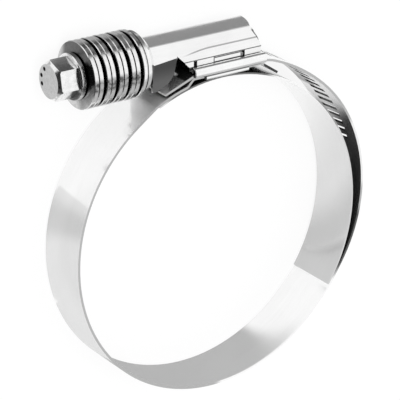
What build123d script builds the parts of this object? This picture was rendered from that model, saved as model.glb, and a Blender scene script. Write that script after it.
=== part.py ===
from build123d import *
import os
from math import acos, asin, cos, degrees, radians, sin, sqrt, tan

# Spring-loaded worm-drive pipe clamp, millimetres.
# The origin is the centre of the clamped pipe and +Z is the pipe's axis, so the clamp lies flat.
# +Y points from the pipe to the screw housing. The screw lies along X with its hex head at -X.

# Ring, band and inner liner
pipe_d = 88.9
band_w = 15.9
band_t = 0.65
liner_t = 0.45
layer_gap = 0.02
slide_gap = 0.05
liner_start = -33.5
liner_end = 116.2
lift_gap = 0.5
lift_bend_r = 6.0

# Fixed end of the band: it steps up onto the saddle and ends in a tongue bent down to the liner
step_x = -11.32
step_slope = 48.0
bend_r = 1.3
tongue_inset = 0.5
tongue_slope = 34.0
tongue_len = 5.9

# Free end of the band: it springs off the liner, runs under the screw and ends in a short tail.
# The first run's length and the first bend's radius are shares of the pipe's radius.
spring_start = -31.7
spring_run = 0.128
spring_bend = (0.967, 80.0)
exit_bend = (12.1, 20.4)
tail_x = -8.7
tail_bend_r = 2.0
tail_spread = 2.7
tail_len = 9.2

# Slots that the worm drives
slot_pitch = 2.54
slot_w = 1.25
slot_len = 7.0
slot_slant = 6.0
slot_margin = 2.6
slotted_len = 82.0

# Saddle: a floor under the band with side walls rolled over the housing's feet
saddle_t = 0.55
saddle_side_gap = 0.08
saddle_floor_x = (-5.5, 8.0)
saddle_roll_x = (-9.0, 13.5)
saddle_wall_h = 1.2
saddle_bulge = 0.3
lip_reach = 1.3
corner_r = 0.5

# Housing: a faceted cover of bent sheet
housing_t = 0.8
housing_x = (-20.9, 13.0)
roof_end_x = (11.2, 13.9)
roof_end_bulge = 0.5
roof_half = 3.95
worm_room = 0.25
side_inset = 1.6
crease_x = -5.0
crease_drops = (4.3, 3.55, 2.7, 2.6)
flare_inset = 0.95
flare_drop = 5.15
recess = 0.25
skirt_inset = 1.65
skirt_drop = 6.8
skirt_x = (-19.4, -13.3)
skirt_sweep = ((-14.3, 3.05), (-16.0, 5.05))
slit_rise = 0.35
foot_x = -9.3
foot_lift = 0.55
foot_reach = 0.95
fold_gap = 0.02
notch_w = 1.05
notch_x = (-7.9, 7.3)

# Disc springs: cones stacked rim to rim and bore to bore
disc_count = 8
disc_r = 9.07
disc_bore_r = 4.6
disc_t = 1.4
disc_cone = 0.44
disc_gap = 0.02
disc_edge = 0.18

# Spring seat: turned ring between the disc springs and the housing
seat_rim_x = -25.4
seat_boss_r = 6.3
seat_rim_len = 1.25
seat_groove_len = 0.45
seat_groove_depth = 0.35
seat_len = 3.0
seat_back_r = 8.55
seat_nose_r = 6.9
seat_nose_len = 1.5
seat_bore_gap = 0.05

# Screw: hex head with flange, plain shank, worm thread and nose
hex_af = 9.53
hex_len = 6.1
hex_turn = 48.4
hex_face_r = 4.55
hex_chamfer_slope = 53.0
flange_r = 6.2
flange_t = 1.6
flange_edge = 0.25
guide_r = 4.3
guide_len = 12.2
shank_r = 3.9
worm_r = 3.8
worm_gap = 0.08
thread_depth = 0.75
thread_root_w = 1.45
thread_crest_w = 0.85
thread_bury = 0.2
worm_x = (-16.8, 9.9)
neck_gap = 0.6
nose_r = 2.75
nose_x = 15.6
nose_steps = ((0.5, 1.0), (0.17, 0.72), (0.0, 0.4))
dimple_r = 0.55
dimple_depth = 0.35
dimple_ring_r = 3.45
dimple_angles = (34.0, 77.0, 114.0)

# Heights of the layers above the pipe's centre
pipe_r = pipe_d / 2
floor_y = pipe_r + liner_t + layer_gap
fixed_y = floor_y + saddle_t
free_y = fixed_y + band_t + slide_gap
axis_y = free_y + band_t + worm_gap + worm_r
foot_y = free_y + band_t + foot_lift
lip_y = foot_y + housing_t + fold_gap
roll_top_y = lip_y + saddle_t
roof_y = axis_y + worm_r + worm_room + housing_t
pipe_mid_r = pipe_r + band_t / 2
ring_mid_r = floor_y + band_t / 2
step_angle = 90 - degrees(asin(step_x / ring_mid_r))
tail_slope = degrees(asin((tail_len - tail_x) / ring_mid_r)) - tail_spread
half_w = band_w / 2
side_half = half_w - side_inset
flare_half = half_w - flare_inset
skirt_half = half_w - skirt_inset

# Lengthwise places on the screw axis
seat_boss_x = seat_rim_x - disc_cone
disc_pitch = disc_t + disc_cone + disc_gap
flange_x = seat_boss_x - disc_gap - disc_count * disc_pitch
head_x = flange_x - flange_t
face_x = head_x - hex_len


def on_circle(radius, angle):
    """Point on a circle about the origin, with the angle in degrees."""
    return radius * cos(radians(angle)), radius * sin(radians(angle))


def walk(start, heading, move):
    """Point and heading after one move: a length straight on, or a radius and a left turn."""
    x, y = start
    if len(move) == 1:
        return (x + move[0] * cos(radians(heading)), y + move[0] * sin(radians(heading))), heading
    radius, turn = move
    after = heading + turn
    x += radius * (sin(radians(after)) - sin(radians(heading))) * (1 if turn > 0 else -1)
    y -= radius * (cos(radians(after)) - cos(radians(heading))) * (1 if turn > 0 else -1)
    return (x, y), after


def move_length(move):
    """Length of one move along the path."""
    return move[0] if len(move) == 1 else move[0] * abs(radians(move[1]))


def part_of(move, share):
    """The first share of a move, from 0 to 1."""
    return (move[0] * share,) if len(move) == 1 else (move[0], move[1] * share)


def beside(point, heading, offset):
    """Point a distance to the left of a point on the path."""
    return (point[0] - offset * sin(radians(heading)), point[1] + offset * cos(radians(heading)))


def strip(start, heading, moves, thickness, width):
    """Sheet strip that follows a path of straight runs and arcs in the XY plane."""
    sides = {+1: [], -1: []}
    first = (start, heading)
    for move in moves:
        middle = walk(start, heading, part_of(move, 0.5))
        end = walk(start, heading, move)
        for side, edges in sides.items():
            points = [beside(*at, side * thickness / 2) for at in ((start, heading), middle, end)]
            edges.append(Line(points[0], points[2]) if len(move) == 1 else ThreePointArc(*points))
        start, heading = end
    caps = [Line(beside(*at, thickness / 2), beside(*at, -thickness / 2)) for at in (first, (start, heading))]
    face = make_face(sides[+1] + sides[-1] + caps)
    return extrude(face, width / 2, both=True)


def station(start, heading, moves, distance):
    """Point and heading a distance along the path."""
    for move in moves:
        length = move_length(move)
        if distance <= length:
            return walk(start, heading, part_of(move, distance / length))
        distance -= length
        start, heading = walk(start, heading, move)
    return start, heading


def fixed_end_path():
    """Start, heading and moves of the band from the tongue's tip to where it joins the ring."""
    y = fixed_y + band_t / 2
    # The tongue bends down just inside the end of the level run above it
    level_run = free_end_path()[2][-3]
    tongue_x = tail_x + level_run[0] - tongue_inset
    lead = bend_r * tan(radians(tongue_slope / 2))
    reach = lead + tongue_len
    tip = (tongue_x + lead + reach * cos(radians(tongue_slope)), y - reach * sin(radians(tongue_slope)))
    steep = 180 + step_slope
    joined = 90 + step_angle
    ring = on_circle(ring_mid_r, step_angle)
    bends_y = bend_r * (-cos(radians(steep)) - 1) + bend_r * (cos(radians(joined)) - cos(radians(steep)))
    slope_len = (ring[1] - y - bends_y) / sin(radians(steep))
    bends_x = bend_r * sin(radians(steep)) + bend_r * (sin(radians(steep)) - sin(radians(joined)))
    saddle_x = ring[0] - bends_x - slope_len * cos(radians(steep))
    moves = [
        (tongue_len,),
        (bend_r, tongue_slope),
        (tongue_x - saddle_x,),
        (bend_r, step_slope),
        (slope_len,),
        (bend_r, joined - steep),
    ]
    return tip, 180 - tongue_slope, moves


def ring_path():
    """Moves of the band around the pipe, with its ends lifted onto the liner's ends."""
    low, high = pipe_mid_r - lift_bend_r, ring_mid_r - lift_bend_r
    run = (sqrt(high * high - low * low),)
    bend = (lift_bend_r, degrees(acos(low / high)))
    first, last = liner_end + lift_gap, 360 + liner_start - lift_gap
    return [
        (ring_mid_r, first - step_angle),
        bend,
        run,
        (pipe_mid_r, last - first - 2 * bend[1]),
        run,
        bend,
        (ring_mid_r, 360 + spring_start - last),
    ]


def free_end_path():
    """Start, heading and moves of the band from where it leaves the liner to the tail's tip."""
    start = on_circle(ring_mid_r, spring_start)
    heading = 90 + spring_start
    moves = [(spring_run * pipe_r,), (spring_bend[0] * pipe_r, spring_bend[1])]
    place, way = start, heading
    for move in moves:
        place, way = walk(place, way, move)
    # The last wide arc is as large as it must be for the band to arrive level with the saddle
    upper_way = 180 - exit_bend[1]
    exit_rise = exit_bend[0] * (cos(radians(upper_way)) + 1)
    rise = free_y + band_t / 2 - place[1] - exit_rise
    arc_r = rise / (cos(radians(way)) - cos(radians(upper_way)))
    moves += [(arc_r, upper_way - way), exit_bend]
    for move in moves[-2:]:
        place, way = walk(place, way, move)
    moves += [(place[0] - tail_x,), (tail_bend_r, tail_slope), (tail_len,)]
    return start, heading, moves


def make_band():
    """One strip: tongue, step, ring, sprung side, slotted run under the screw and tail."""
    tip, tip_heading, fixed_moves = fixed_end_path()
    start, heading, free_moves = free_end_path()
    band = strip(tip, tip_heading, fixed_moves + ring_path() + free_moves, band_t, band_w)
    total = sum(move_length(move) for move in free_moves)
    slots = []
    for index in range(int((slotted_len - slot_margin) / slot_pitch)):
        distance = total - slot_margin - index * slot_pitch
        (x, y), way = station(start, heading, free_moves, distance)
        slots.append(Pos(x, y, 0) * Rot(0, 0, way) * Rot(0, slot_slant, 0) * Box(slot_w, 2 * band_t, slot_len))
    return band - slots


def make_liner():
    """Thin inner strip that bridges the gap in the ring under the screw."""
    radius = pipe_r + liner_t / 2
    sweep_angle = liner_end - liner_start
    return strip(on_circle(radius, liner_start), 90 + liner_start, [(radius, sweep_angle)], liner_t, band_w)


def make_saddle():
    """Folded channel: floor, side walls and rolled lips, with the floor shorter than the rolls."""
    inner_z = half_w + saddle_side_gap
    outer_z = inner_z + saddle_t
    neck_y = floor_y + saddle_wall_h
    middle_y = (neck_y + roll_top_y) / 2
    turn_z = outer_z - lip_reach / 2
    edges = [
        Line((floor_y, 0), (floor_y, outer_z - corner_r)),
        RadiusArc((floor_y, outer_z - corner_r), (floor_y + corner_r, outer_z), corner_r),
        Line((floor_y + corner_r, outer_z), (neck_y, outer_z)),
        ThreePointArc((neck_y, outer_z), (middle_y, outer_z + saddle_bulge), (roll_top_y, turn_z)),
        Line((roll_top_y, turn_z), (roll_top_y, outer_z - lip_reach)),
        Line((roll_top_y, outer_z - lip_reach), (lip_y, outer_z - lip_reach)),
        Line((lip_y, outer_z - lip_reach), (lip_y, turn_z)),
        ThreePointArc((lip_y, turn_z), (middle_y, inner_z + saddle_bulge), (neck_y, inner_z)),
        Line((neck_y, inner_z), (fixed_y, inner_z)),
        Line((fixed_y, inner_z), (fixed_y, 0)),
        Line((fixed_y, 0), (floor_y, 0)),
    ]
    half = make_face(edges)
    section = Plane.YZ.offset(saddle_roll_x[0]) * (half + mirror(half, Plane.XZ))
    saddle = extrude(section, saddle_roll_x[1] - saddle_roll_x[0])
    low = neck_y - floor_y
    for end, edge in zip(saddle_roll_x, saddle_floor_x):
        cut = Box(abs(end - edge), low, 2 * band_w, align=(Align.CENTER, Align.MIN, Align.CENTER))
        saddle -= Pos((end + edge) / 2, floor_y, 0) * cut
    return saddle


def sheet_loop(points, thickness):
    """Closed outline of a bent sheet, from its outer surface's points as (y, z) and its thickness."""
    inner = []
    for index, point in enumerate(points):
        normals = []
        for a, b in ((index - 1, index), (index, index + 1)):
            if a >= 0 and b < len(points):
                dy, dz = points[b][0] - points[a][0], points[b][1] - points[a][1]
                length = sqrt(dy * dy + dz * dz)
                normals.append((-dz / length, dy / length))
        ny = sum(n[0] for n in normals) / len(normals)
        nz = sum(n[1] for n in normals) / len(normals)
        scale = thickness / (ny * ny + nz * nz)
        inner.append((point[0] + ny * scale, point[1] + nz * scale))
    return points + inner[::-1]


def sheet_between(ends, creases, section):
    """Sheet whose section changes evenly between two places along the screw."""
    faces = []
    for x, crease in zip(ends, creases):
        loop = sheet_loop(section(crease), housing_t)
        faces.append(make_face(Plane.YZ.offset(x) * Polyline(*loop, close=True)))
    return loft(faces, ruled=True)


def both_sides(half_points):
    """Whole section from the points of its +Z half, ordered so that the sheet lies inside."""
    return [(y, -z) for y, z in half_points[::-1]] + half_points


def skirt_section(crease):
    """Section beside the shank: roof, sloping facets down to the crease, and plain walls."""
    return both_sides([(roof_y, roof_half), (crease, side_half), (axis_y - skirt_drop, skirt_half)])


def foot_section(crease):
    """Section over the worm: below the crease the walls flare, step in and end in feet."""
    seam_y = roof_y - flare_drop
    wall_z = flare_half - recess
    foot_top = foot_y + housing_t
    return both_sides([
        (roof_y, roof_half),
        (crease, side_half),
        (seam_y, flare_half),
        (seam_y - recess, wall_z),
        (foot_top, wall_z),
        (foot_top, wall_z + foot_reach),
    ])


def skirt_cut():
    """What is cut away below the skirt, up to the slit between it and the feet."""
    low_y = axis_y - skirt_drop
    below = low_y - 1
    foot_top = foot_y + housing_t
    slit = (skirt_x[1], roof_y - crease_drops[1] + slit_rise)
    sweep = [(x, axis_y - drop) for x, drop in skirt_sweep]
    side = make_face([
        Line((skirt_x[0], low_y), (skirt_x[0], below)),
        Line((skirt_x[0], below), (foot_x, below)),
        Line((foot_x, below), (foot_x, foot_top)),
        Line((foot_x, foot_top), slit),
        Line(slit, sweep[0]),
        Spline(*sweep, (skirt_x[0], low_y)),
    ])
    return extrude(side, band_w, both=True)


def slant_cut(side, roof_x):
    """What is cut away beyond the slanted end of one side, from the roof down to the seam."""
    seam_y = roof_y - flare_drop
    past = housing_x[1] + band_w
    outline = [
        (roof_x, roof_y),
        (housing_x[1], seam_y),
        (housing_x[1], foot_y),
        (past, foot_y),
        (past, roof_y),
    ]
    face = make_face(Polyline(*[(x, y, side * roof_half) for x, y in outline], close=True))
    return extrude(face, band_w, dir=(0, 0, side))


def bow_cut():
    """What is cut away beyond the roof's bowed end, seen from above."""
    past = housing_x[1] + band_w
    bow_x = (roof_end_x[0] + roof_end_x[1]) / 2 + roof_end_bulge
    top = roof_y + housing_t
    near, middle, away = (roof_end_x[0], top, roof_half), (bow_x, top, 0), (roof_end_x[1], top, -roof_half)
    near_corner, away_corner = (past, top, roof_half), (past, top, -roof_half)
    face = make_face([
        ThreePointArc(near, middle, away),
        Line(away, away_corner),
        Line(away_corner, near_corner),
        Line(near_corner, near),
    ])
    return extrude(face, top - axis_y, dir=(0, -1, 0))


def make_housing():
    """Faceted cover: roof, skirt beside the shank, flared walls and feet held by the saddle."""
    creases = [roof_y - drop for drop in crease_drops]
    housing = sheet_between((housing_x[0], skirt_x[1]), creases[0:2], skirt_section)
    housing += sheet_between((skirt_x[1], crease_x), creases[1:3], foot_section)
    housing += sheet_between((crease_x, roof_end_x[1]), creases[2:4], foot_section)
    housing -= [skirt_cut(), bow_cut(), slant_cut(1, roof_end_x[0]), slant_cut(-1, roof_end_x[1])]
    # Relief notches part each wall into feet
    foot_top = foot_y + housing_t
    notch_h = roof_y - flare_drop - recess - foot_top
    from_bottom = (Align.CENTER, Align.MIN, Align.CENTER)
    for x in notch_x:
        housing -= Pos(x, foot_top, 0) * Box(notch_w, notch_h, 2 * band_w, align=from_bottom)
    return housing


def turned(points):
    """Body of revolution about the screw axis, from (x, radius) points."""
    outline = Polyline(*[(x, axis_y + radius) for x, radius in points], close=True)
    return revolve(make_face(outline), Axis((0, axis_y, 0), (1, 0, 0)))


def make_disc(index):
    """Disc spring number index, counted from the screw head, with its cone facing the last one's."""
    left = flange_x + disc_gap + index * disc_pitch
    facing_head = index % 2 == 0
    bore_x = left if facing_head else left + disc_cone
    rim_x = left + disc_cone if facing_head else left
    return turned([
        (bore_x, disc_bore_r),
        (rim_x, disc_r - disc_edge),
        (rim_x + disc_edge, disc_r),
        (rim_x + disc_t - disc_edge, disc_r),
        (rim_x + disc_t, disc_r - disc_edge),
        (bore_x + disc_t, disc_bore_r),
    ])


def make_seat():
    """Turned ring: boss for the last disc, rim, groove, and a nose that meets the housing."""
    groove_x = seat_rim_x + seat_rim_len
    back_x = seat_rim_x + seat_len
    nose_x_end = back_x + seat_nose_len
    bore = shank_r + seat_bore_gap
    edge = disc_edge
    return turned([
        (seat_boss_x, bore),
        (seat_boss_x, seat_boss_r),
        (seat_rim_x, seat_boss_r + disc_cone),
        (seat_rim_x, disc_r - edge),
        (seat_rim_x + edge, disc_r),
        (groove_x - edge, disc_r),
        (groove_x, disc_r - edge),
        (groove_x, disc_r - seat_groove_depth - edge),
        (groove_x + seat_groove_len, disc_r - seat_groove_depth - edge),
        (groove_x + seat_groove_len, seat_back_r + edge),
        (back_x - edge, seat_back_r),
        (back_x, seat_back_r - edge),
        (nose_x_end, seat_nose_r),
        (nose_x_end, bore),
    ])


def make_head():
    """Hex head with a chamfered face, and three punched dimples beside its edge."""
    corner = hex_af / sqrt(3)
    hexagon = RegularPolygon(corner, 6, rotation=hex_turn)
    head = Plane((face_x, axis_y, 0), x_dir=(0, 1, 0), z_dir=(1, 0, 0)) * extrude(hexagon, hex_len)
    outside = corner + flange_t
    chamfer_x = face_x + (outside - hex_face_r) * tan(radians(hex_chamfer_slope))
    blank = turned([
        (face_x, 0),
        (face_x, hex_face_r),
        (chamfer_x, outside),
        (head_x, outside),
        (head_x, 0),
    ])
    head = head & blank
    for angle in dimple_angles:
        y = axis_y + dimple_ring_r * cos(radians(angle))
        z = -dimple_ring_r * sin(radians(angle))
        punch = Cone(dimple_r, dimple_r / 3, dimple_depth, align=(Align.CENTER, Align.CENTER, Align.MIN))
        head -= Pos(face_x, y, z) * Rot(0, 90, 0) * punch
    return head


def make_worm_thread():
    """Single-start thread with the slots' pitch, right-handed about +X."""
    root = worm_r - thread_depth
    length = worm_x[1] - worm_x[0]
    path = Helix(slot_pitch, length - thread_root_w, root, center=(0, 0, thread_root_w / 2), direction=(0, 0, 1))
    profile = Polyline(
        (root - thread_bury, -thread_root_w / 2),
        (worm_r, -thread_crest_w / 2),
        (worm_r, thread_crest_w / 2),
        (root - thread_bury, thread_root_w / 2),
        close=True,
    )
    face = make_face(Pos(0, 0, thread_root_w / 2) * (Plane.XZ * profile))
    thread = sweep(face, path, is_frenet=True)
    return Pos(worm_x[0], axis_y, 0) * Rot(0, 90, 0) * thread


def make_screw():
    """Head, flange, guide for the disc bores, shank, worm core and rounded nose."""
    root = worm_r - thread_depth
    guide_x = flange_x + guide_len
    neck_x = seat_rim_x + seat_len + seat_nose_len + neck_gap
    nose = [(nose_x - back * nose_r, radius * nose_r) for back, radius in nose_steps]
    core = turned([
        (head_x, 0),
        (head_x, flange_r - flange_edge),
        (head_x + flange_edge, flange_r),
        (flange_x - flange_edge, flange_r),
        (flange_x, flange_r - flange_edge),
        (flange_x, guide_r),
        (guide_x - flange_edge, guide_r),
        (guide_x, shank_r),
        (neck_x, shank_r),
        (neck_x + shank_r - root, root),
        (worm_x[1], root),
        (worm_x[1], nose_r),
        *nose,
        (nose_x, 0),
    ])
    return core + make_head() + make_worm_thread()


def build():
    """All pieces by node name."""
    pieces = {
        "band": make_band(),
        "liner": make_liner(),
        "saddle": make_saddle(),
        "housing": make_housing(),
        "spring_seat": make_seat(),
        "screw": make_screw(),
    }
    for index in range(disc_count):
        pieces[f"disc_spring_{index + 1}"] = make_disc(index)
    return pieces


if __name__ == "__main__":
    os.makedirs("parts", exist_ok=True)
    for node, solid in build().items():
        export_step(solid, f"parts/{node}.step")
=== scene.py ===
import math

import bpy
from mathutils import Matrix, Vector


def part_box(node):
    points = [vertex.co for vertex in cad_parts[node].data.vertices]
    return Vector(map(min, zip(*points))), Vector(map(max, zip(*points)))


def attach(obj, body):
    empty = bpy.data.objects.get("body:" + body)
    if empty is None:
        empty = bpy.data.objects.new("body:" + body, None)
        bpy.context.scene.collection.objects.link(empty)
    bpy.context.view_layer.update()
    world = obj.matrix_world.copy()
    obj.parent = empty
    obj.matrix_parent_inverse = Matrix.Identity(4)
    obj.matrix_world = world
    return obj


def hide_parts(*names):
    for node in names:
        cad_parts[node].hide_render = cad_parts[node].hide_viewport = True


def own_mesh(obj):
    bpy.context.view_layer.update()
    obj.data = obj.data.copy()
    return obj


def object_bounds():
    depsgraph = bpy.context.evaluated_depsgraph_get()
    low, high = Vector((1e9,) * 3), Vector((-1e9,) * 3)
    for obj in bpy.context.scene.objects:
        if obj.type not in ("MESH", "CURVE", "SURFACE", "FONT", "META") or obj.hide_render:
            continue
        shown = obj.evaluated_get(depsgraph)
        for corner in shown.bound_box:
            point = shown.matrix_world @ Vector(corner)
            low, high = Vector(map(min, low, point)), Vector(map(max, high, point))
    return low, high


# Spring-loaded worm-drive pipe clamp on a white studio floor, metres.
# The frame's +Z is the pipe's axis, +Y points to the screw housing and -X to the hex head.

mm = 0.001

# Camera: three turns in degrees that take the frame to the camera, then a shift and a distance
camera_turns = (19.16, 37.22, 13.26)
camera_shift = (0.94 * mm, -6.25 * mm)
camera_distance = 700 * mm
camera_lens = 233.2

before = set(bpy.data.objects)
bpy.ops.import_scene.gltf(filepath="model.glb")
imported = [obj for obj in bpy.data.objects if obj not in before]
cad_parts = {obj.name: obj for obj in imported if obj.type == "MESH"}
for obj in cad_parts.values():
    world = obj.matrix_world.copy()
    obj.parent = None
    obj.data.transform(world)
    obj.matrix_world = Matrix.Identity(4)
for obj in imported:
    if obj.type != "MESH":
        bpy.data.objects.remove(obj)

# Places that the looks need, from the frame
cad_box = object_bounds()
floor_z = cad_box[0].z
housing_box, saddle_box, screw_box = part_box("housing"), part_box("saddle"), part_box("screw")
axis_y = (screw_box[0].y + screw_box[1].y) / 2
head_x = screw_box[0].x
saddle_y = saddle_box[0].y
housing_start, housing_end = housing_box[0].x, housing_box[1].x
roof_y = housing_box[1].y
seam_y = roof_y - 5.15 * mm
skirt_end = -13.3 * mm


# Node helpers

def link(tree, socket, value):
    """Sets a socket's value, or links another node's output to it."""
    if isinstance(value, bpy.types.NodeSocket):
        tree.links.new(value, socket)
    else:
        socket.default_value = value


def put(tree, kind, values=(), out=0, **settings):
    """New node with its first inputs in order, or by name; gives one of its outputs."""
    node = tree.nodes.new(kind)
    for name, value in settings.items():
        setattr(node, name, value)
    pairs = values.items() if isinstance(values, dict) else enumerate(values)
    for key, value in pairs:
        link(tree, node.inputs[key], value)
    return node.outputs[out] if node.outputs else node


def calc(tree, operation, *values):
    """Math node."""
    return put(tree, "ShaderNodeMath", values, operation=operation)


def plus(tree, first, second):
    return calc(tree, "ADD", first, second)


def minus(tree, first, second):
    return calc(tree, "SUBTRACT", first, second)


def absolute(tree, value):
    return calc(tree, "ABSOLUTE", value)


def larger(tree, first, second):
    return calc(tree, "MAXIMUM", first, second)


def product(tree, *values):
    """Several values multiplied."""
    result = values[0]
    for value in values[1:]:
        result = calc(tree, "MULTIPLY", result, value)
    return result


def soft_step(tree, value, low, high, at_low=0.0, at_high=1.0):
    """Smooth change from one value to another as the input goes from low to high."""
    return put(
        tree, "ShaderNodeMapRange", (value, low, high, at_low, at_high), interpolation_type="SMOOTHSTEP"
    )


def falling(tree, value, low, high):
    """1 below the low end and 0 above the high end."""
    return soft_step(tree, value, low, high, 1.0, 0.0)


def between(tree, value, low, high, soft):
    """1 between two places and 0 beyond them."""
    rise = soft_step(tree, value, low - soft, low + soft)
    fall = falling(tree, value, high - soft, high + soft)
    return product(tree, rise, fall)


def away(tree, value, target):
    """How far a value is from a target."""
    return absolute(tree, minus(tree, value, target))


def close_to(tree, value, target, inner, outer):
    """1 within the inner distance of a target and 0 beyond the outer one."""
    return falling(tree, away(tree, value, target), inner, outer)


def toned(tree, mask, tone):
    """A shade that is 1 where a mask is 0, and the tone where it is 1."""
    return soft_step(tree, mask, 0.0, 1.0, 1.0, tone)


def darkened(tree, depth):
    """A shade that is 1 where a depth is 0, and black where it is 1."""
    return minus(tree, 1.0, depth)


def axes_of(tree, vector):
    """X, Y and Z of a vector."""
    axes = tree.nodes.new("ShaderNodeSeparateXYZ")
    tree.links.new(vector, axes.inputs[0])
    return axes.outputs["X"], axes.outputs["Y"], axes.outputs["Z"]


def object_axes(tree, what="Object"):
    """X, Y and Z of a point or, with Normal, of the surface's direction there."""
    return axes_of(tree, put(tree, "ShaderNodeTexCoord", out=what))


def length(tree, x, y, z):
    """Length of a vector of three values."""
    vector = put(tree, "ShaderNodeCombineXYZ", (x, y, z))
    return put(tree, "ShaderNodeVectorMath", (vector,), out="Value", operation="LENGTH")


def place(tree, scale):
    """Object coordinates, scaled."""
    where = put(tree, "ShaderNodeTexCoord", out="Object")
    return put(tree, "ShaderNodeMapping", {"Vector": where, "Scale": scale})


def noise(tree, scale, detail=2.0, roughness=0.5):
    """Noise of one cell per unit of the scaled object coordinates."""
    values = {"Vector": place(tree, scale), "Scale": 1.0, "Detail": detail, "Roughness": roughness}
    return put(tree, "ShaderNodeTexNoise", values)


def grey(tree, value):
    """Colour of one level in red, green and blue."""
    return put(tree, "ShaderNodeCombineColor", (value, value, value))


def new_material(name):
    """Empty node material and its tree."""
    material = bpy.data.materials.new(name)
    material.use_nodes = True
    material.node_tree.nodes.clear()
    return material, material.node_tree


# Steel

def crevice(tree, reach, low, high, darkest):
    """Shade that falls towards black deep in gaps and grooves of a given reach."""
    openness = put(tree, "ShaderNodeAmbientOcclusion", {"Distance": reach}, out="AO", samples=8)
    return soft_step(tree, openness, low, high, darkest, 1.0)


def steel(
    name, level, metal, roughness, grain, grain_share, wave, wave_depth, spot_share, gap_open, painted_shade_and_relief=None
):
    """Bright metal: grain along one way, small waves, faint clouds, painted shade in gaps and grooves,
    and the piece's own painted shade, relief and roughness.
    """
    cloud_size = wave / 0.6
    grain_depth = 0.1 * grain_share * mm
    smoothest, roughest = roughness
    material, tree = new_material(name)
    streaks = noise(tree, grain, detail=3.0)
    waves = noise(tree, (1 / wave,) * 3)
    clouds = noise(tree, (1 / cloud_size,) * 3, detail=4.0, roughness=0.6)
    spotted = soft_step(tree, clouds, 0.35, 0.65)
    shade = soft_step(tree, spotted, 0.0, 1.0, at_low=1.0 - spot_share, at_high=1.0)
    shine = soft_step(tree, streaks, 0.3, 0.7, at_low=1.0 - grain_share, at_high=1.0)
    # Painted shade in gaps and grooves, darker where the surface is less open
    gaps = crevice(tree, reach=4 * mm, low=0.12, high=gap_open, darkest=0.03)
    grooves = crevice(tree, reach=0.8 * mm, low=0.3, high=0.62, darkest=0.08)
    base = product(tree, level, shade, shine, gaps, grooves)
    relief = plus(tree, product(tree, streaks, grain_depth), product(tree, waves, wave_depth))
    gloss = soft_step(tree, spotted, 0.0, 1.0, at_low=roughest, at_high=smoothest)
    # The piece's own painted shade darkens the base; its relief and least roughness add to the steel's
    if painted_shade_and_relief:
        painted_shade, mark_relief, dulled = painted_shade_and_relief(tree)
        base = product(tree, base, painted_shade)
        relief = plus(tree, relief, mark_relief)
        gloss = larger(tree, gloss, dulled)
    bump = put(tree, "ShaderNodeBump", {"Strength": 1.0, "Distance": 1.0, "Height": relief})
    surface = put(tree, "ShaderNodeBsdfPrincipled", {
        "Base Color": grey(tree, base),
        "Metallic": metal,
        "Roughness": gloss,
        "Normal": bump,
    })
    put(tree, "ShaderNodeOutputMaterial", {"Surface": surface})
    return material


# Painted shade on the two strips. What a piece's own function of painted shade gives is a shade, a relief
# and a least roughness.

# Stretches of the ring where the painted shade on a strip's near cut edge is paler or darker, in degrees:
# (first, last, more)
band_edge_stretches = ((-90, -30, 0.5), (4, 28, 0.4), (-27, -5, -0.38))
liner_edge_stretches = ((30, 46, -0.35), (50, 68, 0.3), (70, 112, -0.5))


def facing_out(tree):
    """Distance from the pipe's axis times the share of the surface that faces away from it."""
    x, y, _ = object_axes(tree)
    nx, ny, _ = object_axes(tree, "Normal")
    return plus(tree, product(tree, x, nx), product(tree, y, ny))


def ring_turn(tree):
    """Degrees round the pipe's axis, from +X towards +Y."""
    x, y, _ = object_axes(tree)
    return calc(tree, "DEGREES", calc(tree, "ARCTAN2", y, x))


def facing_near(tree):
    """1 on the cut edges that face +Z."""
    _, _, nz = object_axes(tree, "Normal")
    return soft_step(tree, nz, 0.7, 0.95)


def near_edge(tree, plain, stretches):
    """Painted shade of the near cut edge: plain, and more or less over some stretches of the ring."""
    blend = 2.0
    turn = ring_turn(tree)
    tone = plain
    for first, last, more in stretches:
        tone = plus(tree, tone, product(tree, between(tree, turn, first, last, blend), more))
    return darkened(tree, product(tree, facing_near(tree), darkened(tree, tone)))


def band_in_housing(tree):
    """Deep shade on the band where the housing covers it."""
    x, y, z = object_axes(tree)
    covered = between(tree, x, housing_start + 8 * mm, housing_end - 3 * mm, soft=1 * mm)
    above_saddle = soft_step(tree, y, saddle_y + 0.7 * mm, saddle_y + 1 * mm)
    off_edges = falling(tree, absolute(tree, z), 7.5 * mm, 7.8 * mm)
    return toned(tree, product(tree, covered, above_saddle, off_edges), tone=0.1)


def sprung_side(tree):
    """1 on the side of the ring where the band springs away from the liner."""
    x, _, _ = object_axes(tree)
    return soft_step(tree, x, 24 * mm, 26 * mm)


def sprung_face(tree):
    """Shade on the inner face of the sprung side: deeper low down, and beside the liner's top."""
    lift_r, lift_soft = 45.4 * mm, 0.1 * mm
    x, y, z = object_axes(tree)
    lifted = soft_step(tree, length(tree, x, y, 0.0), lift_r - lift_soft, lift_r + lift_soft)
    facing_in = falling(tree, facing_out(tree), -30 * mm, -25 * mm)
    low_down = soft_step(tree, y, 22 * mm, 31 * mm, at_low=0.38, at_high=0.75)
    top = product(tree, soft_step(tree, y, 30.5 * mm, 32.5 * mm), falling(tree, z, -1 * mm, 0.5 * mm))
    light = product(tree, low_down, toned(tree, top, tone=0.04))
    return darkened(tree, product(tree, sprung_side(tree), lifted, facing_in, darkened(tree, light)))


def slot_wall_shade(tree):
    """Painted shade on the walls of the slots in the sprung side."""
    _, _, nz = object_axes(tree, "Normal")
    off_edges = falling(tree, absolute(tree, nz), 0.4, 0.6)
    off_faces = falling(tree, absolute(tree, facing_out(tree)), 14 * mm, 18 * mm)
    return toned(tree, product(tree, sprung_side(tree), off_edges, off_faces), tone=0.06)


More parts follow.
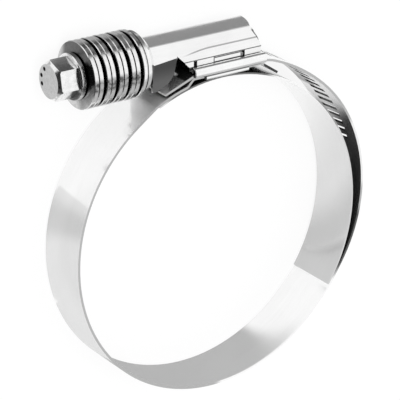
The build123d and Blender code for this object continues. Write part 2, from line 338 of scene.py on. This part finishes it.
def tail_edge_shade(tree):
    """Painted shade on the near edge of the band's tail beside the housing."""
    tail_start, tail_end, slope, top, soft = 13.3 * mm, 24 * mm, 0.45, 52 * mm, 0.1 * mm
    x, y, _ = object_axes(tree)
    below_top = falling(tree, plus(tree, y, product(tree, x, slope)), top - soft, top + soft)
    beside = between(tree, x, tail_start, tail_end, soft)
    off_bottom = soft_step(tree, y, 30 * mm, 35 * mm)
    return toned(tree, product(tree, beside, off_bottom, below_top, facing_near(tree)), tone=0.12)


def dull_under_springs(tree):
    """Roughness of the band where the disc springs blur in it, up to a line that slants across it."""
    start, end, soft, slant, rough = -23.8 * mm, -12 * mm, 1.2 * mm, 0.6, 0.5
    x, y, z = object_axes(tree)
    along = plus(tree, x, product(tree, z, slant))
    near_top = soft_step(tree, y, 22 * mm, 29 * mm)
    return product(tree, between(tree, along, start, end, soft), near_top, rough)


def band_painted_shade_and_dulling(tree):
    """Painted shade inside the housing, on the sprung side, in slots and on cut edges; dull under the
    springs.
    """
    shade = product(
        tree,
        band_in_housing(tree),
        sprung_face(tree),
        slot_wall_shade(tree),
        near_edge(tree, plain=0.5, stretches=band_edge_stretches),
        tail_edge_shade(tree),
    )
    return shade, 0.0, dull_under_springs(tree)


def liner_end_shade(tree):
    """Painted shade on the liner's inner face up to a curved line across it, near its free end."""
    line_turn, line_lean, line_bend = -23.4, 0.61 / mm, 0.036 / mm / mm
    blend_mid, blend_lean = 1.95, 0.11 / mm
    _, _, z = object_axes(tree)
    line = plus(tree, product(tree, z, line_lean), product(tree, z, z, line_bend))
    past = minus(tree, minus(tree, ring_turn(tree), line), line_turn)
    blend = plus(tree, product(tree, z, blend_lean), blend_mid)
    facing_in = falling(tree, facing_out(tree), -30 * mm, -20 * mm)
    depth = soft_step(tree, calc(tree, "DIVIDE", past, blend), -1.0, 1.0, at_low=0.38, at_high=0.0)
    return darkened(tree, product(tree, facing_in, depth))


def liner_painted_shade(tree):
    """Painted shade on the liner's back, on its cut edge and near its free end."""
    back = soft_step(tree, facing_out(tree), 0.0, 20 * mm, at_low=1.0, at_high=0.5)
    edge = near_edge(tree, plain=0.7, stretches=liner_edge_stretches)
    return product(tree, back, edge, liner_end_shade(tree)), 0.0, 0.0


# Painted shade on the saddle and the housing, and relief on the housing's feet

def saddle_fold_shade(tree):
    """Painted shade line along the lower fold of its near side."""
    fold_y, fold_start, fold_end = saddle_y + 1.15 * mm, -7.5 * mm, 12 * mm
    x, y, _ = object_axes(tree)
    along = between(tree, x, fold_start, fold_end, soft=1 * mm)
    line = product(tree, close_to(tree, y, fold_y, inner=0.12 * mm, outer=0.3 * mm), along)
    return toned(tree, line, tone=0.2), 0.0, 0.0


def housing_inside_shade(tree):
    """Painted shade on the inner faces of the cover."""
    _, y, z = object_axes(tree)
    _, up, out = object_axes(tree, "Normal")
    outward = plus(tree, product(tree, minus(tree, y, axis_y), up), product(tree, z, out))
    return soft_step(tree, outward, -0.6 * mm, 0.6 * mm, at_low=0.12, at_high=1.0)


def roof_crease_shade(tree):
    """Painted shade along the roof's crease, which climbs towards the middle."""
    start_y, end_y = roof_y - 3.9 * mm, roof_y - 2.65 * mm
    x, y, _ = object_axes(tree)
    crease_y = soft_step(tree, x, -16 * mm, -3 * mm, at_low=start_y, at_high=end_y)
    line = close_to(tree, y, crease_y, inner=0.05 * mm, outer=0.3 * mm)
    return toned(tree, product(tree, line, soft_step(tree, x, -13 * mm, -7 * mm)), tone=0.45)


def roof_edge_shade(tree):
    """Thin line of painted shade along the roof's edge."""
    edge_y = roof_y - 0.1 * mm
    _, y, _ = object_axes(tree)
    return soft_step(tree, away(tree, y, edge_y), 0.06 * mm, 0.1 * mm, at_low=0.6, at_high=1.0)


def housing_side(tree):
    """1 on the upright side walls."""
    _, _, out = object_axes(tree, "Normal")
    return soft_step(tree, absolute(tree, out), 0.96, 0.99)


def skirt_shade(tree):
    """Deep shade on the skirt beside the shank."""
    x, y, _ = object_axes(tree)
    skirt = product(tree, housing_side(tree), falling(tree, x, skirt_end - 0.3 * mm, skirt_end))
    depth = soft_step(tree, y, roof_y - 10 * mm, roof_y - 5 * mm, at_low=0.86, at_high=0.93)
    return darkened(tree, product(tree, skirt, depth))


def seam_shade_line(tree):
    """Painted shade line where the side wall meets its feet."""
    x, y, _ = object_axes(tree)
    line = close_to(tree, y, seam_y, inner=0.1 * mm, outer=0.22 * mm)
    past_skirt = soft_step(tree, x, skirt_end + 0.7 * mm, skirt_end + 0.9 * mm)
    return toned(tree, product(tree, line, past_skirt), tone=0.2)


def tab_outline_shade(tree):
    """Painted shade outlining the tab that is folded over in the middle of the foot."""
    tab_x, tab_half_length = 2.3 * mm, 4.3 * mm
    tab_y, tab_half_height = seam_y - 1.05 * mm, 0.6 * mm
    x, y, _ = object_axes(tree)
    past_end = minus(tree, away(tree, x, tab_x), tab_half_length)
    past_side = minus(tree, away(tree, y, tab_y), tab_half_height)
    from_edge = absolute(tree, larger(tree, past_end, past_side))
    return soft_step(tree, from_edge, 0.1 * mm, 0.2 * mm, at_low=0.12, at_high=1.0)


def under_foot_shade(tree):
    """Painted shade on the side wall below the foot."""
    x, y, _ = object_axes(tree)
    low = falling(tree, y, seam_y - 2.1 * mm, seam_y - 1.8 * mm)
    along = between(tree, x, -12 * mm, 6 * mm, soft=1 * mm)
    return toned(tree, product(tree, housing_side(tree), low, along), tone=0.15)


def hood_rim_shade(tree):
    """Painted shade on the rim of the hood at its open end, which leans back towards the roof."""
    lean, rim_start, rim_full = 0.45, housing_end - 3.3 * mm, housing_end - 3.15 * mm
    x, y, _ = object_axes(tree)
    along = plus(tree, x, product(tree, minus(tree, y, roof_y), lean))
    flank = between(tree, y, seam_y + 1.7 * mm, roof_y - 0.9 * mm, soft=0.3 * mm)
    return toned(tree, product(tree, soft_step(tree, along, rim_start, rim_full), flank), tone=0.15)


def rolled_feet(tree):
    """Relief that rolls the feet outwards below the seam."""
    roll = 0.2
    x, y, _ = object_axes(tree)
    foot = between(tree, y, roof_y - 8.1 * mm, seam_y - 0.15 * mm, soft=0.02 * mm)
    past_skirt = soft_step(tree, x, skirt_end, skirt_end + 0.3 * mm)
    return product(tree, foot, past_skirt, minus(tree, roof_y, y), roll)


def housing_painted_shade_and_relief(tree):
    """Painted shade inside the cover, on its creases and lines and on its skirt, and the roll of its
    feet.
    """
    lines = product(
        tree, roof_crease_shade(tree), roof_edge_shade(tree), seam_shade_line(tree), tab_outline_shade(tree), hood_rim_shade(tree)
    )
    shades = product(tree, housing_inside_shade(tree), skirt_shade(tree), under_foot_shade(tree))
    return product(tree, lines, shades), rolled_feet(tree), 0.0


# Painted shade on the screw and the disc springs, and relief on the screw's chamfer

# Dimples in the hex face: their ring, their turns from the top in degrees, and their size
dimple_ring_r = 3.45 * mm
dimple_turns = (34.0, 77.0, 114.0)
dimple_inner_r, dimple_outer_r = 0.5 * mm, 0.68 * mm


def axis_distance(tree):
    """Distance from the screw's axis."""
    _, y, z = object_axes(tree)
    return length(tree, 0.0, minus(tree, y, axis_y), z)


def dimple_shade(tree):
    """1 where shade is painted: on what lies below the hex's face, inside its rim, and on a spot round
    each dimple.
    """
    x, _, _ = object_axes(tree)
    below_face = between(tree, x, head_x + 0.05 * mm, head_x + 0.6 * mm, soft=0.03 * mm)
    dark = product(tree, below_face, falling(tree, axis_distance(tree), 4.3 * mm, 4.45 * mm))
    for degrees in dimple_turns:
        turn = math.radians(degrees)
        centre = (head_x, axis_y + dimple_ring_r * math.cos(turn), -dimple_ring_r * math.sin(turn))
        where = put(tree, "ShaderNodeTexCoord", out="Object")
        apart = put(tree, "ShaderNodeVectorMath", (where, centre), out="Value", operation="DISTANCE")
        dark = larger(tree, dark, falling(tree, apart, dimple_inner_r, dimple_outer_r))
    return dark


def hex_root(tree):
    """Depth of the shade on the hex's lower flat and the flange's face, where they meet."""
    root_start, root_full = head_x + 3.3 * mm, head_x + 4.6 * mm
    face_end, rim_start, deepest = head_x + 6.3 * mm, head_x + 6.4 * mm, 0.72
    x, y, _ = object_axes(tree)
    nx, ny, _ = object_axes(tree, "Normal")
    root = product(tree, soft_step(tree, x, root_start, root_full), falling(tree, x, face_end, rim_start))
    lower_flat = falling(tree, ny, -0.55, -0.45)
    face = falling(tree, nx, -0.6, -0.5)
    lower_face = product(tree, face, falling(tree, y, axis_y - 3 * mm, axis_y - 2 * mm))
    return product(tree, root, larger(tree, lower_flat, lower_face), deepest)


def wide_chamfer(tree):
    """Relief that slopes the hex's flats down towards its end, so that its chamfer looks wider."""
    reach, slope = 0.95 * mm, -0.75
    x, _, _ = object_axes(tree)
    nx, _, _ = object_axes(tree, "Normal")
    flats = falling(tree, absolute(tree, nx), 0.1, 0.3)
    to_end = larger(tree, minus(tree, head_x + reach, x), 0.0)
    return product(tree, flats, to_end, slope)


def screw_painted_shade_and_relief(tree):
    """Painted shade in each dimple, at the hex's root and on the shank inside the housing, and a wider
    chamfer.
    """
    housed_depth = 0.85
    x, _, _ = object_axes(tree)
    housed = between(tree, x, housing_start + 3 * mm, housing_end - 1 * mm, soft=1 * mm)
    depth = larger(tree, dimple_shade(tree), product(tree, housed, housed_depth))
    return toned(tree, larger(tree, depth, hex_root(tree)), tone=0.04), wide_chamfer(tree), 0.0


def disc_face(tree):
    """Depth of the painted shade on the first disc spring's face: the shade that the screw's head throws,
    and more over its upper part and low down.
    """
    core_y, core_z, above_depth = axis_y + 2.3 * mm, 7 * mm, 0.86
    _, y, z = object_axes(tree)
    nx, _, _ = object_axes(tree, "Normal")
    face = falling(tree, nx, -0.95, -0.85)
    from_core = length(tree, 0.0, minus(tree, y, core_y), minus(tree, z, core_z))
    beside = soft_step(tree, from_core, 2.5 * mm, 11 * mm, at_low=0.92, at_high=0.0)
    upper = soft_step(tree, y, axis_y - 2 * mm, axis_y + 3 * mm)
    above = product(tree, upper, soft_step(tree, z, -8.5 * mm, -4.5 * mm), above_depth)
    lower = falling(tree, y, axis_y - 6 * mm, axis_y - 4.5 * mm)
    below = product(tree, lower, soft_step(tree, z, 2.5 * mm, 6.5 * mm, at_low=0.3, at_high=0.08))
    return product(tree, face, larger(tree, larger(tree, beside, above), below))


def disc_rim_shade(tree):
    """Depth of the painted shade in patchy streaks along the near side of the rims."""
    patch = 1.2 * mm
    nx, ny, nz = object_axes(tree, "Normal")
    rim = falling(tree, absolute(tree, nx), 0.3, 0.5)
    near_side = soft_step(tree, nz, 0.2, 0.4)
    middle_streak = between(tree, ny, -0.24, 0.12, soft=0.07)
    lower_streak = between(tree, ny, -0.82, -0.62, soft=0.06)
    patchy = soft_step(tree, noise(tree, (1 / patch,) * 3), 0.35, 0.65, at_low=0.5, at_high=0.88)
    return product(tree, rim, larger(tree, middle_streak, lower_streak), patchy, near_side)


def disc_painted_shade(tree):
    """Painted shade on the first disc spring's face, and in streaks along the rims."""
    return darkened(tree, larger(tree, disc_face(tree), disc_rim_shade(tree))), 0.0, 0.0


def make_steels():
    """Materials of the clamp by use."""
    # Cells of grain to the metre along X, Y and Z
    along_ring, along_x, round_x = (40, 40, 2600), (60, 1500, 1500), (2600, 260, 260)
    rolled = {
        "level": 0.95, "metal": 0.9, "roughness": (0.13, 0.17), "grain": along_ring, "grain_share": 0.02,
        "wave": 14 * mm, "wave_depth": 0.05 * mm, "spot_share": 0.02, "gap_open": 0.6,
    }
    folded = {
        "level": 0.95, "metal": 0.9, "roughness": (0.13, 0.17), "grain": along_x, "grain_share": 0.04,
        "wave": 3 * mm, "wave_depth": 0.012 * mm, "spot_share": 0.05, "gap_open": 0.6,
    }
    stamped = {
        "level": 0.91, "metal": 0.92, "roughness": (0.09, 0.13), "grain": along_x, "grain_share": 0.03,
        "wave": 6 * mm, "wave_depth": 0.012 * mm, "spot_share": 0.03, "gap_open": 0.6,
    }
    turned = {
        "level": 0.97, "metal": 1.0, "roughness": (0.14, 0.22), "grain": round_x, "grain_share": 0.08,
        "wave": 0.6 * mm, "wave_depth": 0.01 * mm, "spot_share": 0.06, "gap_open": 0.6,
    }
    headed = {
        "level": 0.95, "metal": 1.0, "roughness": (0.14, 0.22), "grain": along_x, "grain_share": 0.08,
        "wave": 0.6 * mm, "wave_depth": 0.01 * mm, "spot_share": 0.08, "gap_open": 0.7,
    }
    tumbled = {
        "level": 0.97, "metal": 1.0, "roughness": (0.12, 0.22), "grain": round_x, "grain_share": 0.1,
        "wave": 0.5 * mm, "wave_depth": 0.02 * mm, "spot_share": 0.1, "gap_open": 0.88,
    }
    return {
        "band": steel("rolled_band", painted_shade_and_relief=band_painted_shade_and_dulling, **rolled),
        "liner": steel("rolled_liner", painted_shade_and_relief=liner_painted_shade, **rolled),
        "saddle": steel("folded_sheet", painted_shade_and_relief=saddle_fold_shade, **folded),
        "housing": steel("stamped_cover", painted_shade_and_relief=housing_painted_shade_and_relief, **stamped),
        "spring_seat": steel("turned_seat", **turned),
        "screw": steel("cold_headed_screw", painted_shade_and_relief=screw_painted_shade_and_relief, **headed),
        "disc": steel("tumbled_spring", painted_shade_and_relief=disc_painted_shade, **tumbled),
    }


# Studio

def seen_white(tree):
    """1 for a ray from the camera, a reflection or clear glass, which sees the white studio."""
    ray = tree.nodes.new("ShaderNodeLightPath")
    total = plus(tree, ray.outputs["Is Camera Ray"], ray.outputs["Is Glossy Ray"])
    return put(tree, "ShaderNodeClamp", (plus(tree, total, ray.outputs["Is Transmission Ray"]),))


def is_glossy(tree):
    return tree.nodes.new("ShaderNodeLightPath").outputs["Is Glossy Ray"]


def only_in_reflections(tree, tone):
    """Colour that is white, but has a tone where polished steel reflects it."""
    return grey(tree, put(tree, "ShaderNodeMix", {"Factor": is_glossy(tree), "A": 1.0, "B": tone}))


# Patches of painted shade on the floor, seen only in reflections, millimetres: (x, y, half width, half
# depth, softness, tone)
floor_pools = {
    "behind the disc springs": (-34.5, 459.5, 17.5, 400, 2, 0.44),
    "further behind": (562, 467, 600, 400, 3, 0.5),
    "far behind": (562, 472, 600, 400, 3, 0.35),
    "beside the housing's roof": (5, 62.45, 23, 4.35, 0.15, 0.24),
    "inside the ring, beside the disc springs": (-12, 8, 14, 18, 4, 0.14),
    "in front, to the right": (45, -78, 20, 24, 6, 0.3),
    "left, outside the ring": (-80, 0.75, 37, 17.75, 0.6, 0.80),
    "further left": (-80, 0, 30, 40, 4, 0.93),
    "left, under the crisp edge": (-60, 9.5, 25, 5, 5, 0.76),
    "lower left, outside the ring": (-49, -30.5, 23, 13.5, 0.6, 0.79),
    "bottom, inside the ring": (-3.5, -36, 23.5, 16, 2.4, 0.46),
    "in the gap beside the liner": (52, 4, 7, 34, 2, 0.06),
    "before the disc springs": (-51, 37.5, 4, 3, 1, 0.4),
    "under the screw head": (-58, 47, 9, 9, 2, 0.6),
}


def pool(tree, x, y, half_w, half_d, soft, tone):
    """Shade of one soft-edged patch of floor."""
    floor_x, floor_y, _ = object_axes(tree)
    across = close_to(tree, floor_x, x * mm, (half_w - soft) * mm, (half_w + soft) * mm)
    along = close_to(tree, floor_y, y * mm, (half_d - soft) * mm, (half_d + soft) * mm)
    return toned(tree, product(tree, across, along), tone)


def beside_liner(tree):
    """Painted shade on the floor inside the ring on the liner's side, seen in reflections: a crisp grey
    start that grows paler upwards.
    """
    up_turn = math.radians(65.35)
    x, y, _ = object_axes(tree)
    up = plus(tree, product(tree, x, math.cos(up_turn)), product(tree, y, math.sin(up_turn)))
    start = soft_step(tree, up, -2.2 * mm, -0.6 * mm, at_low=1.0, at_high=0.62)
    deeper = soft_step(tree, away(tree, up, 1.5 * mm), 1 * mm, 6 * mm, at_low=0.88, at_high=1.0)
    paler = soft_step(tree, up, 5 * mm, 13 * mm, at_low=1.0, at_high=1.22)
    palest = soft_step(tree, up, 16 * mm, 44 * mm, at_low=1.0, at_high=1.32)
    tone = calc(tree, "MINIMUM", product(tree, start, deeper, paler, palest), 1.0)
    right = between(tree, x, 21 * mm, 60 * mm, soft=1.5 * mm)
    return darkened(tree, product(tree, right, darkened(tree, tone)))


def make_floor():
    """Pale floor: white to the camera with the object's faint shadow, with painted shade where polished
    steel reflects it.
    """
    half_size, shadow_free = 0.6, 0.88
    mesh = bpy.data.meshes.new("floor")
    corners = [(x * half_size, y * half_size, 0) for x, y in ((-1, -1), (1, -1), (1, 1), (-1, 1))]
    mesh.from_pydata(corners, [], [(0, 1, 2, 3)])
    floor = bpy.data.objects.new("floor", mesh)
    floor.location = (0, 0, floor_z)
    bpy.context.scene.collection.objects.link(floor)
    material, tree = new_material("pale_floor")
    tone = product(tree, *(pool(tree, *patch) for patch in floor_pools.values()), beside_liner(tree))
    shown = only_in_reflections(tree, tone)
    white = put(tree, "ShaderNodeEmission", {"Color": shown, "Strength": 1.0})
    matt = put(tree, "ShaderNodeBsdfDiffuse", {"Color": (0.9, 0.9, 0.9, 1)})
    unshaded = soft_step(tree, is_glossy(tree), 0.0, 1.0, at_low=shadow_free, at_high=1.0)
    white_share = product(tree, seen_white(tree), unshaded)
    surface = put(tree, "ShaderNodeMixShader", (white_share, matt, white))
    put(tree, "ShaderNodeOutputMaterial", {"Surface": surface})
    mesh.materials.append(material)


# Dark flags round the studio as polished steel reflects them: (way to it, inner, outer degrees, tone)
world_flags = {
    "behind the housing": ((0.53, 0.84, -0.02), 7, 25, 0.07),
    "behind the camera": ((-0.70, 0.20, 0.66), 40, 46, 0.02),
    "low behind the camera": ((-0.55, -0.62, 0.55), 18, 24, 0.1),
}


def flag(tree, way, centre, inner, outer, tone):
    """Shade of one round flag, seen one way."""
    facing = (way, Vector(centre).normalized())
    toward = put(tree, "ShaderNodeVectorMath", facing, out="Value", operation="DOT_PRODUCT")
    edge, core = math.cos(math.radians(outer)), math.cos(math.radians(inner))
    return soft_step(tree, toward, edge, core, at_low=1.0, at_high=tone)


def grey_wall(tree, way):
    """Shade of the studio wall on -Y's side, up to a white ceiling."""
    _, y, z = axes_of(tree, way)
    past_wall = soft_step(tree, y, -0.6, -0.3)
    ceiling = soft_step(tree, z, 0.5, 0.75)
    return soft_step(tree, larger(tree, past_wall, ceiling), 0.0, 1.0, at_low=0.5, at_high=1.0)


def make_world():
    """White studio: plain light, and in reflections dark flags and a grey wall on one side."""
    world = bpy.data.worlds.new("studio")
    bpy.context.scene.world = world
    world.use_nodes = True
    tree = world.node_tree
    tree.nodes.clear()
    way = put(tree, "ShaderNodeTexCoord", out="Generated")
    flags = (flag(tree, way, *facts) for facts in world_flags.values())
    shown = only_in_reflections(tree, product(tree, *flags, grey_wall(tree, way)))
    background = put(tree, "ShaderNodeBackground", {"Color": shown, "Strength": 1.0})
    put(tree, "ShaderNodeOutputWorld", {"Surface": background})


def make_light():
    """Large soft lamp overhead that gives the shadow its side."""
    lamp = bpy.data.lights.new("soft_box", "AREA")
    lamp.shape = "DISK"
    lamp.size = 0.4
    lamp.energy = 2.0
    light = bpy.data.objects.new("soft_box", lamp)
    light.location = (-0.25, 0.2, 0.6)
    light.rotation_euler = (-light.location).to_track_quat("-Z", "Y").to_euler()
    light.visible_glossy = False
    bpy.context.scene.collection.objects.link(light)


def make_camera():
    """Camera at the photograph's viewing angle."""
    around_x, around_y, around_z = (math.radians(turn) for turn in camera_turns)
    to_camera = (
        Matrix.Rotation(around_y, 3, "Y")
        @ Matrix.Rotation(around_x, 3, "X")
        @ Matrix.Rotation(around_z, 3, "Z")
    )
    back = to_camera.transposed()
    data = bpy.data.cameras.new("camera")
    data.lens = camera_lens
    data.sensor_width = 36
    data.clip_start, data.clip_end = 0.01, 10
    camera = bpy.data.objects.new("camera", data)
    place_at = back @ Vector((-camera_shift[0], -camera_shift[1], camera_distance))
    camera.matrix_world = Matrix.Translation(place_at) @ back.to_4x4()
    bpy.context.scene.collection.objects.link(camera)
    bpy.context.scene.camera = camera


# Pieces


def dress(piece, material):
    """Gives a piece one material."""
    piece.data.materials.clear()
    piece.data.materials.append(material)


def make_flattening_disc(node, solid, material):
    """A disc spring's own copy of its mesh, attached to the spring's body in place of its CAD part."""
    disc = bpy.data.objects.new(node + "_flattening", solid.data.copy())
    bpy.context.scene.collection.objects.link(disc)
    dress(disc, material)
    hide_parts(node)
    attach(disc, node)
    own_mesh(disc)


def make_pieces():
    """Materials for the CAD nodes, and disc springs with meshes of their own."""
    steels = make_steels()
    for node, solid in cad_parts.items():
        if node in steels:
            dress(solid, steels[node])
        else:
            make_flattening_disc(node, solid, steels["disc"])


make_camera()
make_world()
make_light()
make_floor()
make_pieces()
bpy.context.scene.view_settings.view_transform = "Standard"
